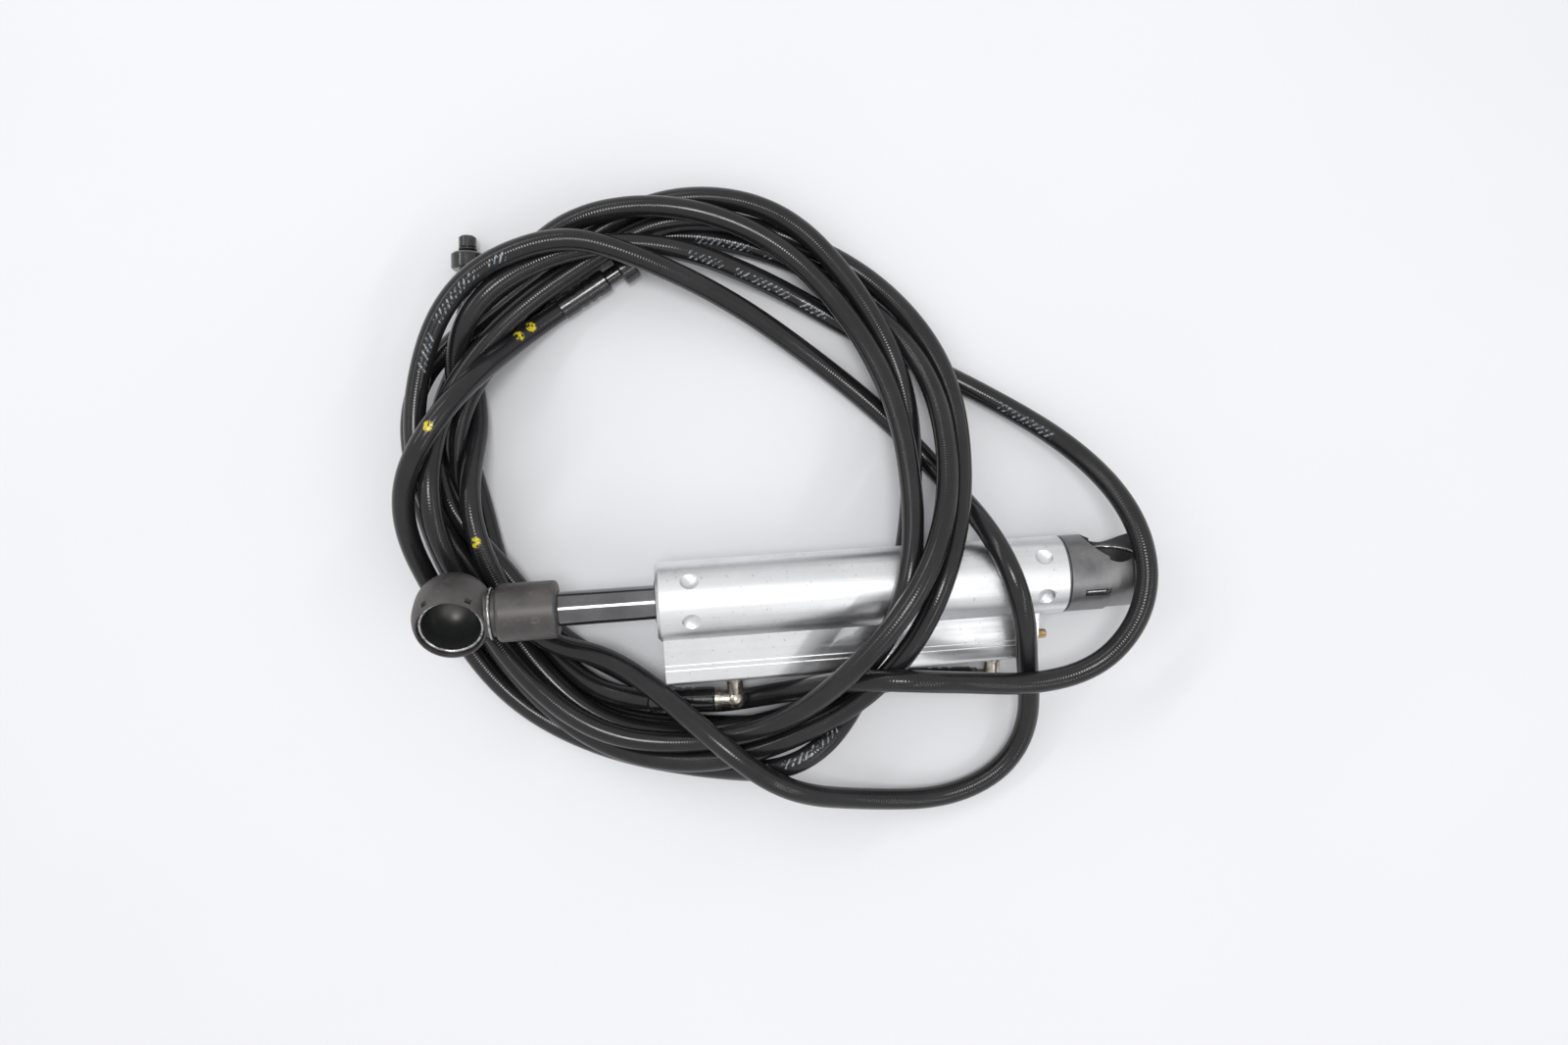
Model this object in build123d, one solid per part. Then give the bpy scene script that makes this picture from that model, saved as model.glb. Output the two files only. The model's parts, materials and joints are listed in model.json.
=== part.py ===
from build123d import *
import math
import os

os.makedirs("parts", exist_ok=True)

# A small double-acting hydraulic cylinder with a ball socket at each end and two flexible hoses.
# Millimetres. +X runs along the cylinder towards its rear end cap, +Z is up, and the floor is z = 0.
# The cylinder leans on its rear end and on its side block, which gives the tilt and the roll.

# ---- where the cylinder lies ----
FRONT_X = -37.62         # centre of the barrel's front face
AXIS_Y = 10.89
FRONT_Z = 24.56
TILT = 5.5               # the rear end is down
BARREL_ROLL = 18.0       # the side block has dropped towards -Y
ROD_ROLL = 33.0          # the rod is free to turn, and its socket has turned further

# ---- barrel ----
BARREL_R = 11.5
BARREL_LENGTH = 120.0
BORE_R = 8.75
BLOCK_X0, BLOCK_X1 = 1.3, 112.0
BLOCK_INNER_Y, BLOCK_OUTER_Y = -7.0, -24.4
BLOCK_HALF = 6.25
GALLERY_Y = -19.0
PORT_R = 2.5
FRONT_PORT_X, REAR_PORT_X = 21.5, 99.8
CROSS_DRILL_X = 108.2

# ---- fits ----
RUN = 0.05               # radial clearance of a sliding or turning fit
SEAT = 0.02              # clearance of two pieces that are screwed or pressed together

# ---- rod and piston ----
ROD_R = 5.0
STUD_R = 3.5
PISTON_X0, PISTON_X1 = 68.0, 79.0
NUT_LENGTH = 4.5
SLEEVE_X0, SLEEVE_X1, SLEEVE_R = -45.0, -27.8, 8.35
NECK_R = 6.7
ROD_SOCKET_X = -57.4

# ---- ball sockets ----
BALL_SEAT_R = 8.1
SEAT_DEPTH = 4.0         # straight wall from the ball's centre out to the ledge for the spring ring
CUP_R = 11.3
CUP_TOP = 6.5            # the rod-end socket is a ball, drawn out a little along its mouth's axis and cut off here
CUP_LOW_CENTRE, CUP_HIGH_CENTRE = -2.2, 0.8
ROD_MOUTH_R, ROD_RING_WIRE_R = 9.35, 0.6
REAR_MOUTH_R, REAR_RING_WIRE_R = 9.1, 0.45

# ---- rear end cap ----
CAP_X0, CAP_STEP_X, CAP_X1 = 120.0, 131.6, 145.0
CAP_R, CAP_END_R = 11.35, 10.8
SPIGOT_X0 = 111.0
REAR_SOCKET_X = 135.0

# ---- hoses and their fittings ----
HOSE_R = 3.2
FERRULE_R = 3.6
FERRULE_LENGTH = 20.0
ELBOW_REACH = 32.6       # from the cylinder's axis to the elbow's corner
ELBOW_DROOP = 8.0
END_FERRULE_LENGTH = 17.0
CONNECTOR_NECK_R, CONNECTOR_NECK = 2.5, 4.4
CONNECTOR_COLLAR_R, CONNECTOR_COLLAR = 5.0, 5.1
CONNECTOR_TIP_R, CONNECTOR_TIP = 2.65, 5.2
CONNECTOR_Z = 5.05       # a connector lies on its collar

# where each hose's end ferrule meets its connector, and the connector's heading in degrees from +X
END_FITTINGS = {"a": (-91.1, 110.2, 86.9), "b": (-48.6, 109.1, 29.8)}

# ---- the coil that both hoses lie in: a ring on the floor that climbs over the barrel ----
COIL_X, COIL_Y = -28.0, 43.0
COIL_INNER_R, COIL_OUTER_R = 63.0, 90.0
COIL_SPLIT_X = -5.0      # the coil lies flat on this side of X, and climbs over the barrel past it
COIL_FLAT_TOP, COIL_PILE_TOP = 12.5, 18.0

# ---- the stretches of hose that leave the coil: points of each route, and its two ends ----
HOSE_A_OUTER_LOOP = [
    (30, 88, 5), (62, 70, 4), (90, 48, 8), (103, 25, 23), (104, 2, 30), (92, -16, 28),
    (72, -22, 24.5), (52, -19, 25.5), (34, -15, 28.5), (18, -14.5, 26.5), (4, -19.3, 16.5),
    (-9, -22.6, 6.6), (-25, -25.5, 3.6), (-43, -25, 4),
]
HOSE_A_LOWER_LOOP = [
    (-40, 115, 14.5), (-12, 101, 6), (14, 80, 4), (34, 59, 7), (49, 39, 17), (59, 21, 29),
    (66, 3, 30.5), (72, -15, 21), (75, -33, 8), (66, -49, 4), (46, -57, 4), (20, -55.5, 4),
    (-3, -45, 10), (-20, -31, 19.5), (-36, -18, 23), (-54, -7.5, 17), (-73, 0, 10), (-90, 12, 9),
]
HOSE_A_LEAD = [(-58, -19.5, 9), (-71, -10, 6)]
HOSE_B_LEAD = [(20, -20.5, 3.6), (4, -27, 3.4)]
HOSE_A_TAIL = [(-93.5, 79, 4.6), (-96, 64, 4.5)]
HOSE_B_TAIL = [(-75, 93, 5), (-84, 84, 5.5)]

cylinder_frame = Pos(FRONT_X, AXIS_Y, FRONT_Z) * Rot(0, TILT, 0)
barrel_frame = cylinder_frame * Rot(BARREL_ROLL, 0, 0)
rod_frame = cylinder_frame * Rot(ROD_ROLL, 0, 0)


def x_rod(radius, x0, x1, y=0.0, z=0.0):
    """A round bar along X from x0 to x1."""
    return Pos((x0 + x1) / 2, y, z) * Rot(0, 90, 0) * Cylinder(radius, x1 - x0)


def x_ring(outer, inner, x0, x1):
    return x_rod(outer, x0, x1) - x_rod(inner, x0 - 1, x1 + 1)


def y_rod(radius, y0, y1, x=0.0, z=0.0):
    """A round bar along Y from y0 to y1."""
    return Pos(x, (y0 + y1) / 2, z) * Rot(90, 0, 0) * Cylinder(radius, y1 - y0)


def z_rod(radius, z0, z1, x=0.0, y=0.0):
    """A round bar along Z from z0 to z1."""
    return Pos(x, y, (z0 + z1) / 2) * Cylinder(radius, z1 - z0)


def block(x0, x1, y0, y1, z0, z1):
    return Pos((x0 + x1) / 2, (y0 + y1) / 2, (z0 + z1) / 2) * Box(x1 - x0, y1 - y0, z1 - z0)


def x_o_ring(outer, inner, x):
    """A round rubber ring about the X axis that just fits between two radii."""
    wire = (outer - inner) / 2
    return Pos(x, 0, 0) * Rot(0, 90, 0) * Torus(inner + wire, wire)


def save(shape, frame, name):
    solid = frame * shape
    export_step(solid, f"parts/{name}.step")
    return solid


# ======== barrel and what is fixed in it ========

def make_barrel():
    body = x_rod(BARREL_R, 0, BARREL_LENGTH)
    body = chamfer(body.edges().filter_by(GeomType.CIRCLE), 0.9)
    side = block(BLOCK_X0, BLOCK_X1, BLOCK_OUTER_Y, BLOCK_INNER_Y, -BLOCK_HALF, BLOCK_HALF)
    outer_edges = side.edges().filter_by(Axis.X).sort_by(Axis.Y)[:2]
    side = fillet(outer_edges, 1.6)
    for side_z in (-BLOCK_HALF, BLOCK_HALF):
        for groove_y in (-17.5, -19.1):
            side -= Pos((BLOCK_X0 + BLOCK_X1) / 2, groove_y, side_z) * Box(BLOCK_X1, 0.7, 0.7)
    body += side
    body -= x_rod(BORE_R, -1, BARREL_LENGTH + 1)
    body -= x_rod(2.0, REAR_PORT_X - 3, BLOCK_X1 + 1, y=GALLERY_Y)
    body -= y_rod(1.5, GALLERY_Y, -BORE_R + 1, x=CROSS_DRILL_X)
    body -= y_rod(PORT_R, BLOCK_OUTER_Y - 1, -BORE_R + 1, x=FRONT_PORT_X)
    body -= y_rod(PORT_R, BLOCK_OUTER_Y - 1, GALLERY_Y - 1, x=REAR_PORT_X)
    body -= y_rod(1.5, GALLERY_Y - 2, GALLERY_Y, x=REAR_PORT_X)
    for dimple_x in (9.7, 112.2):
        for bearing in (30, 150, -30, -150):
            # bearings are from straight up, about the cylinder's axis, and the barrel has rolled
            turn = bearing - BARREL_ROLL
            dimple = Pos(dimple_x, 0, 0) * Rot(turn, 0, 0) * Pos(0, 0, BARREL_R + 2.4) * Sphere(3.6)
            body -= dimple
    return body


GLAND_X0, GLAND_X1, GLAND_NOSE_X1 = 0.8, 17.0, 24.0


def make_front_gland():
    gland = x_rod(BORE_R - SEAT, GLAND_X0, GLAND_X1) + x_rod(6.6, GLAND_X1, GLAND_NOSE_X1)
    gland -= x_rod(ROD_R + RUN + 0.03, GLAND_X0 - 1, GLAND_NOSE_X1 + 1)
    gland -= x_ring(BORE_R + 1, 7.3, 11.0, 13.2)
    gland -= x_rod(7.2, GLAND_X0 - 1, 4.0)
    gland -= x_rod(7.0, 6.0, 9.6)
    for bearing in (0, 90, 180, 270):
        gland -= Rot(bearing, 0, 0) * block(22.6, 25.0, -1.2, 1.2, 0, 8)
    return gland


def make_rod_wiper():
    wiper = x_rod(7.2 - SEAT, 0.9, 3.9) - x_rod(ROD_R + 0.6, 0, 5)
    lip = x_rod(6.2, -0.3, 1.0) + x_rod(ROD_R + 0.65, 1.0, 3.9)
    return wiper + (lip - x_rod(ROD_R + RUN, -2, 5))


def make_rod_seal():
    seal = x_rod(7.0 - SEAT, 6.1, 9.5) - x_rod(ROD_R + RUN, 5, 11)
    return seal - x_ring(6.4, 5.7, 8.2, 10.0)


def make_rear_end_cap():
    cap = x_rod(CAP_R, CAP_X0 + SEAT, CAP_STEP_X) + x_rod(CAP_END_R, CAP_STEP_X, CAP_X1)
    cap = fillet(cap.edges().filter_by(GeomType.CIRCLE).sort_by(Axis.X)[-1:], 1.0)
    cap += x_rod(BORE_R - SEAT, SPIGOT_X0, CAP_X0 + 1)
    cap -= x_ring(BORE_R + 1, 7.3, 113.0, 115.2)
    cap -= Pos(REAR_SOCKET_X, 0, 0) * Sphere(BALL_SEAT_R)
    cap -= y_rod(BALL_SEAT_R, 0, CAP_R + 1, x=REAR_SOCKET_X)
    cap -= y_rod(REAR_MOUTH_R, SEAT_DEPTH, CAP_R + 1, x=REAR_SOCKET_X)
    slot_turn = 30 - BARREL_ROLL
    cap -= Rot(slot_turn, 0, 0) * block(124, 132, -1.1, 1.1, CAP_R - 1.4, CAP_R + 1)
    cap -= Rot(slot_turn, 0, 0) * z_rod(0.7, CAP_R - 5.2, CAP_R, x=130.6)
    return cap


def make_spring_ring(mouth_radius, wire_radius, gap_degrees=30):
    """A round wire ring about Z, with a gap at +X, that lies on the ledge in a socket's mouth."""
    ring = Torus(mouth_radius - SEAT - wire_radius, wire_radius)
    half = math.radians(gap_degrees / 2)
    gap = Polygon((0, 0), (14, 14 * math.tan(half)), (14, -14 * math.tan(half)), align=None)
    return ring - Pos(0, 0, -2) * extrude(gap, 4)


WIRE_R = 0.45


def make_rear_safety_wire():
    """A wire that lies along the axial slot, with its tip turned down into the cap's small hole."""
    route = FilletPolyline((124.6, 0), (130.6, 0), (130.6, -3.4), radius=0.8)
    path = Pos(0, 0, CAP_R - 0.85) * (Plane.XZ * route)
    section = Plane(origin=path @ 0, z_dir=path % 0) * Circle(WIRE_R)
    return Rot(30 - BARREL_ROLL, 0, 0) * sweep(section, path)


def make_channel_plug():
    """The ball and pin that close the gallery where it was drilled from the block's end."""
    pin = x_rod(1.35, BLOCK_X1 - 4.0, 116.3, y=GALLERY_Y)
    pin = fillet(pin.edges().filter_by(GeomType.CIRCLE).sort_by(Axis.X)[-1:], 0.4)
    return pin + x_rod(2.0 - SEAT, BLOCK_X1 - 5.0, BLOCK_X1 - 0.6, y=GALLERY_Y)


# ======== elbows ========

def elbow_frame(port_x):
    """Z points away from the barrel along the port, and X points along the hose's own exit."""
    return Pos(port_x, -ELBOW_REACH, 0) * Rot(0, 180 - ELBOW_DROOP, 0)


def make_elbow(port_x):
    stem = y_rod(2.4, -ELBOW_REACH, -20.4, x=port_x)
    stem -= y_rod(3.0, -22.9, -21.3, x=port_x) - y_rod(1.75, -22.9, -21.3, x=port_x)
    stem += y_rod(3.3, BLOCK_OUTER_Y - 1.5, BLOCK_OUTER_Y - SEAT, x=port_x)
    corner = Pos(port_x, -ELBOW_REACH, 0) * Sphere(3.25)
    exit_frame = elbow_frame(port_x)
    spigot = exit_frame * (x_rod(2.8, 0, 4.4) + x_rod(3.3, 4.4, 6.0) + x_rod(1.55, 6.0, 18.0))
    elbow = stem + corner + spigot
    elbow -= y_rod(1.1, -ELBOW_REACH, -19, x=port_x)
    elbow -= exit_frame * x_rod(1.1, 0, 19)
    return elbow


def make_hose_ferrule(port_x):
    shell = x_rod(FERRULE_R, 6.0 + SEAT, 6.0 + FERRULE_LENGTH)
    shell = chamfer(shell.edges().filter_by(GeomType.CIRCLE), 0.5)
    for groove_x in (12.0, 15.0, 18.0):
        shell -= x_ring(FERRULE_R + 1, FERRULE_R - 0.25, groove_x, groove_x + 1.2)
    shell -= x_rod(1.55 + SEAT, 5, 18.5)
    return elbow_frame(port_x) * shell


def make_elbow_o_ring(port_x):
    wire = (PORT_R - SEAT - 1.75) / 2
    return Pos(port_x, -22.1, 0) * Rot(90, 0, 0) * Torus(1.75 + wire, wire)


# ======== rod, its socket and the piston ========

def make_rod():
    rod = x_rod(ROD_R, SLEEVE_X0 + 1.0, PISTON_X0 - RUN)
    rod = chamfer(rod.edges().filter_by(GeomType.CIRCLE), 0.5)
    return rod + x_rod(STUD_R, PISTON_X0 - 1, PISTON_X1 + NUT_LENGTH - 0.2)


def make_rod_end_socket():
    sleeve = x_rod(SLEEVE_R, SLEEVE_X0, SLEEVE_X1)
    sleeve = fillet(sleeve.edges().filter_by(GeomType.CIRCLE), 1.2)
    neck = x_rod(NECK_R, ROD_SOCKET_X + 8, SLEEVE_X0 + 2)
    cup = z_rod(CUP_R, CUP_LOW_CENTRE, CUP_HIGH_CENTRE)
    cup += Pos(0, 0, CUP_LOW_CENTRE) * Sphere(CUP_R)
    cup += Pos(0, 0, CUP_HIGH_CENTRE) * Sphere(CUP_R)
    cup -= z_rod(CUP_R, CUP_TOP, CUP_TOP + CUP_R)
    socket = sleeve + neck + Pos(ROD_SOCKET_X, 0, 0) * cup
    seat = Sphere(BALL_SEAT_R) + z_rod(BALL_SEAT_R, 0, SEAT_DEPTH + 1)
    socket -= Pos(ROD_SOCKET_X, 0, 0) * (seat + z_rod(ROD_MOUTH_R, SEAT_DEPTH, CUP_TOP + 2))
    for bearing in (55, 125):
        window = Rot(0, 0, bearing) * block(8.5, 12.0, -0.9, 0.9, 4.1, 5.7)
        socket -= Pos(ROD_SOCKET_X, 0, 0) * window
    socket -= x_rod(ROD_R + SEAT, SLEEVE_X0 + 1.0 - SEAT, SLEEVE_X1 + 1)
    return socket


def make_piston():
    piston = x_rod(BORE_R - RUN, PISTON_X0, PISTON_X1)
    piston = chamfer(piston.edges().filter_by(GeomType.CIRCLE), 0.4)
    piston -= x_rod(STUD_R + RUN, PISTON_X0 - 1, PISTON_X1 + 1)
    piston -= x_ring(BORE_R + 1, 7.0, 69.6, 72.4)
    piston -= x_ring(BORE_R + 1, 7.4, 74.0, 77.4)
    return piston


def make_piston_nut():
    nut = x_rod(6.6, PISTON_X1 + RUN, PISTON_X1 + NUT_LENGTH)
    hexagon = Rot(0, 90, 0) * extrude(RegularPolygon(6.6, 6), NUT_LENGTH)
    nut &= Pos(PISTON_X1, 0, 0) * hexagon
    return nut - x_rod(STUD_R + SEAT, PISTON_X1 - 1, PISTON_X1 + NUT_LENGTH + 1)


# ======== hoses ========

def hose_tube(name, points):
    """A hose along straight runs, joined by arcs as large as the two runs beside each allow."""
    points = [Vector(*point) for point in points]
    radii = []
    for before, corner, after in zip(points, points[1:], points[2:]):
        run_in, run_out = corner - before, after - corner
        half_turn = math.radians(run_in.get_angle(run_out)) / 2
        radii.append(0.45 * min(run_in.length, run_out.length) / math.tan(half_turn))
    path = FilletPolyline(*points, radius=radii)
    section = Plane(origin=path @ 0, z_dir=path % 0) * Circle(HOSE_R)
    tube = sweep(section, path)
    expected = math.pi * HOSE_R ** 2 * path.length
    print(name, "length", round(path.length, 1), "smallest radius", round(min(radii), 1),
          "radii", [round(radius) for radius in radii],
          "volume / (section x length)", round(tube.volume / expected, 4))
    return tube


def make_hose_coil():
    """The outer shape of the coil: a ring cut from two bands, less the room that the fittings take."""
    ring = Pos(COIL_X, COIL_Y, 0) * (z_rod(COIL_OUTER_R, 0, 50) - z_rod(COIL_INNER_R, -1, 51))
    flat_band = Polyline(
        (-60, 0), (140, 0), (140, COIL_PILE_TOP), (92, COIL_PILE_TOP), (72, COIL_FLAT_TOP),
        (-60, COIL_FLAT_TOP), close=True)
    bridge_band = Polyline(
        (140, 0), (140, COIL_FLAT_TOP), (78, COIL_FLAT_TOP), (40, 36), (26, 42), (6, 42),
        (-10, 34), (-26, 20), (-38, COIL_FLAT_TOP), (-60, COIL_FLAT_TOP), (-60, 0), (-32, 0),
        (-28, 6.5), (-12, 22.5), (1, 30.6), (22, 30.6), (36, 22), (62, 0), close=True)
    across = Plane(origin=(-130, 0, 0), x_dir=(0, 1, 0), z_dir=(1, 0, 0))
    flat = extrude(across * make_face(flat_band), COIL_SPLIT_X + 130)
    across = Plane(origin=(COIL_SPLIT_X, 0, 0), x_dir=(0, 1, 0), z_dir=(1, 0, 0))
    bridge = extrude(across * make_face(bridge_band), 80)
    coil = ring & (flat + bridge)
    for port_x in (FRONT_PORT_X, REAR_PORT_X):
        room = x_rod(FERRULE_R + 0.5, -4, 6 + FERRULE_LENGTH + 0.4)
        coil -= barrel_frame * elbow_frame(port_x) * room
    for side in ("a", "b"):
        room = block(-END_FERRULE_LENGTH - 0.4, 16, -5.6, 5.6, -6, 5.6)
        coil -= connector_frame(side) * room
    return coil


# ======== connectors on the hoses' free ends ========

def connector_frame(side):
    """The origin is where ferrule and connector meet, and X points out of the connector."""
    x, y, heading = END_FITTINGS[side]
    return Pos(x, y, CONNECTOR_Z) * Rot(0, 0, heading)


def make_connector():
    collar_x = CONNECTOR_NECK
    tip_x = collar_x + CONNECTOR_COLLAR
    end_x = tip_x + CONNECTOR_TIP
    collar = x_rod(CONNECTOR_COLLAR_R, collar_x, tip_x)
    collar = chamfer(collar.edges().filter_by(GeomType.CIRCLE), 0.6)
    tip = x_rod(CONNECTOR_TIP_R, tip_x - 1, end_x)
    tip = chamfer(tip.edges().filter_by(GeomType.CIRCLE).sort_by(Axis.X)[-1:], 0.5)
    barb = x_rod(1.55, -12, 1)
    connector = x_rod(CONNECTOR_NECK_R, SEAT, collar_x + 1) + collar + tip + barb
    connector -= x_ring(CONNECTOR_TIP_R + 1, 1.9, tip_x + 0.5, tip_x + 1.9)
    return connector - x_rod(1.0, -13, end_x + 1)


def make_end_ferrule():
    shell = x_rod(FERRULE_R, -END_FERRULE_LENGTH, 0)
    shell = chamfer(shell.edges().filter_by(GeomType.CIRCLE), 0.5)
    for groove_x in (-5.5, -8.5, -11.5):
        shell -= x_ring(FERRULE_R + 1, FERRULE_R - 0.25, groove_x, groove_x + 1.2)
    return shell - x_rod(1.55 + SEAT, -12.5, 1)


# ======== write the parts ========

pieces = {}
pieces["barrel"] = save(make_barrel(), barrel_frame, "barrel")
pieces["front_gland"] = save(make_front_gland(), barrel_frame, "front_gland")
pieces["gland_o_ring"] = save(x_o_ring(BORE_R - SEAT, 7.3 + SEAT, 12.1), barrel_frame, "gland_o_ring")
pieces["rod_seal"] = save(make_rod_seal(), barrel_frame, "rod_seal")
pieces["rod_wiper"] = save(make_rod_wiper(), barrel_frame, "rod_wiper")
pieces["rear_end_cap"] = save(make_rear_end_cap(), barrel_frame, "rear_end_cap")
pieces["end_cap_o_ring"] = save(x_o_ring(BORE_R - SEAT, 7.3 + SEAT, 114.1), barrel_frame, "end_cap_o_ring")
rear_ring_y = SEAT_DEPTH + REAR_RING_WIRE_R + SEAT
rear_ring = make_spring_ring(REAR_MOUTH_R, REAR_RING_WIRE_R)
rear_ring = Pos(REAR_SOCKET_X, rear_ring_y, 0) * Rot(-90, 0, 0) * rear_ring
pieces["rear_spring_ring"] = save(rear_ring, barrel_frame, "rear_spring_ring")
pieces["rear_safety_wire"] = save(make_rear_safety_wire(), barrel_frame, "rear_safety_wire")
pieces["channel_plug"] = save(make_channel_plug(), barrel_frame, "channel_plug")

for side, port_x in (("front", FRONT_PORT_X), ("rear", REAR_PORT_X)):
    pieces[f"{side}_elbow"] = save(make_elbow(port_x), barrel_frame, f"{side}_elbow")
    pieces[f"{side}_elbow_o_ring"] = save(make_elbow_o_ring(port_x), barrel_frame, f"{side}_elbow_o_ring")
    pieces[f"{side}_hose_ferrule"] = save(make_hose_ferrule(port_x), barrel_frame, f"{side}_hose_ferrule")

pieces["piston"] = save(make_piston(), cylinder_frame, "piston")
pieces["piston_seal"] = save(x_ring(BORE_R - RUN, 7.0 + SEAT, 69.7, 72.3), cylinder_frame, "piston_seal")
guide = x_ring(BORE_R - RUN, 7.4 + SEAT, 74.1, 77.3)
pieces["piston_guide_ring"] = save(guide, cylinder_frame, "piston_guide_ring")

pieces["rod"] = save(make_rod(), rod_frame, "rod")
pieces["piston_nut"] = save(make_piston_nut(), rod_frame, "piston_nut")
pieces["rod_end_socket"] = save(make_rod_end_socket(), rod_frame, "rod_end_socket")
rod_ring = Rot(0, 0, 200) * make_spring_ring(ROD_MOUTH_R, ROD_RING_WIRE_R)
rod_ring = Pos(ROD_SOCKET_X, 0, SEAT_DEPTH + ROD_RING_WIRE_R + SEAT) * rod_ring
pieces["rod_end_spring_ring"] = save(rod_ring, rod_frame, "rod_end_spring_ring")
neck_wire = Pos(-46.6, 0, 0) * Rot(0, 90, 0) * Torus(NECK_R + WIRE_R + SEAT, WIRE_R)
pieces["neck_wire"] = save(neck_wire, rod_frame, "neck_wire")

own_box = Compound(children=list(pieces.values())).bounding_box()
print("box without hoses", own_box.min, own_box.max, "centre", own_box.center())

o_ring_x = CONNECTOR_NECK + CONNECTOR_COLLAR + 1.2
o_ring_wire = 0.42
for side in ("a", "b"):
    place = connector_frame(side)
    save(make_connector(), place, f"hose_{side}_connector")
    save(make_end_ferrule(), place, f"hose_{side}_end_ferrule")
    o_ring = Pos(o_ring_x, 0, 0) * Rot(0, 90, 0) * Torus(1.9 + SEAT + o_ring_wire, o_ring_wire)
    save(o_ring, place, f"hose_{side}_connector_o_ring")

still = Pos(0, 0, 0)
save(make_hose_coil(), still, "hose_coil")
save(hose_tube("hose_a_outer_loop", HOSE_A_OUTER_LOOP), still, "hose_a_outer_loop")
save(hose_tube("hose_a_lower_loop", HOSE_A_LOWER_LOOP), still, "hose_a_lower_loop")
for side, port_x, lead in (("a", FRONT_PORT_X, HOSE_A_LEAD), ("b", REAR_PORT_X, HOSE_B_LEAD)):
    exit_point = (barrel_frame * elbow_frame(port_x) * Pos(6.0 + FERRULE_LENGTH, 0, 0)).position
    print("hose", side, "leaves its ferrule at", exit_point)
    name = f"hose_{side}_lead"
    save(hose_tube(name, [tuple(exit_point)] + lead), still, name)
for side, tail in (("a", HOSE_A_TAIL), ("b", HOSE_B_TAIL)):
    entry_point = (connector_frame(side) * Pos(-END_FERRULE_LENGTH, 0, 0)).position
    print("hose", side, "enters its end ferrule at", entry_point)
    name = f"hose_{side}_tail"
    save(hose_tube(name, [tuple(entry_point)] + tail), still, name)
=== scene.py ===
"""A small double-acting hydraulic cylinder lying with its two hoses in a loose coil.

The cylinder, its fittings and the hose ends are the CAD model's own nodes, with their finishes made here.
The two hoses are curves that are settled onto each other, the cylinder and the floor.
"""
import json
import math

import bpy
import numpy as np
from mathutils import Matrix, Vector


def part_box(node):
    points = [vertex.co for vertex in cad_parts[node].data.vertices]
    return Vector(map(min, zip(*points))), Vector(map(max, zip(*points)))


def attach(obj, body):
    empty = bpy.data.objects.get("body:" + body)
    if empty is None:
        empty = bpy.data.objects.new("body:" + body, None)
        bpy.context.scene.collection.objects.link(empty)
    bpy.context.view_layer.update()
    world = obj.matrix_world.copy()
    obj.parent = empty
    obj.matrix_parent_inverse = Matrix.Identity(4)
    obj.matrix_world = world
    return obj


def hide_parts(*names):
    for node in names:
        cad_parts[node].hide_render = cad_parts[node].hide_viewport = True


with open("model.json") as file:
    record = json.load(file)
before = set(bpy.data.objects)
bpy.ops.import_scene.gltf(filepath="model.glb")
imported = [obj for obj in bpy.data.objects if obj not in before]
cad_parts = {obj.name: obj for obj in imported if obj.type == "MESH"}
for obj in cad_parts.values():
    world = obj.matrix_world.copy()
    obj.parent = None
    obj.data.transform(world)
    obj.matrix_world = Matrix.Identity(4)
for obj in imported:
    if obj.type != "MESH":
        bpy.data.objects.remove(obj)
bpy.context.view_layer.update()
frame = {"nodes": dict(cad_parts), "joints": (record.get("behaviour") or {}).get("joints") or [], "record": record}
nodes = frame["nodes"]

MM = 0.001
HOSE_D = 6.4 * MM
HOSE_R = HOSE_D / 2

# The barrel's own frame: origin on its axis at the front face, X towards the rear, Z up through the tube
spin_joint = next(j for j in frame["joints"] if j["name"] == "rod_spin")
BARREL_FRONT = np.array(spin_joint["pos_m"])
BARREL_ALONG = -np.array(spin_joint["axis"])
BARREL_TILT = math.asin(-BARREL_ALONG[2])
BARREL_ROLL = math.radians(18)

# The rod end's socket: where its ball sits, and the way that its mouth points
ball_mount = next(m for m in frame["record"]["mounts"] if m["name"] == "rod_end_ball_socket")
BALL_PLACE = tuple(ball_mount["pos_m"])
MOUTH_WAY = np.array(ball_mount["axis"])


def barrel_axes():
    """The barrel frame's X, Y and Z directions as the columns of a matrix."""
    cos, sin = math.cos(BARREL_TILT), math.sin(BARREL_TILT)
    tilt = np.array([[cos, 0, sin], [0, 1, 0], [-sin, 0, cos]])
    cos, sin = math.cos(BARREL_ROLL), math.sin(BARREL_ROLL)
    roll = np.array([[1, 0, 0], [0, cos, -sin], [0, sin, cos]])
    return tilt @ roll


BARREL_AXES = barrel_axes()


# ---------------------------------------------------------------- camera

CAMERA_PLACE = (0.0006, 0.0314, 0.350)
CAMERA_TURN = math.radians(-3.7)
LENS_MM = 25.9


def set_camera():
    """Straight down from 350 mm with a wide lens, turned a little so that the cylinder rises to the right."""
    data = bpy.data.cameras.new("camera")
    data.sensor_width = 36
    data.lens = LENS_MM
    data.clip_start = 0.01
    camera = bpy.data.objects.new("camera", data)
    camera.location = CAMERA_PLACE
    camera.rotation_euler = (0, 0, CAMERA_TURN)
    bpy.context.scene.collection.objects.link(camera)
    bpy.context.scene.camera = camera
    bpy.context.scene.view_settings.view_transform = "Standard"


set_camera()


# ---------------------------------------------------------------- hose routes

# The coil's turns: 16 bearings each, clockwise from the lower right. A turn's row gives, bearing by bearing,
# its radius in mm and its layer in the pile, or None where the hose is away on a loose loop.
COIL_CENTRE = (-0.028, 0.043)
BEARINGS = [math.radians(-67.5 - 22.5 * step) for step in range(16)]

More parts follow.
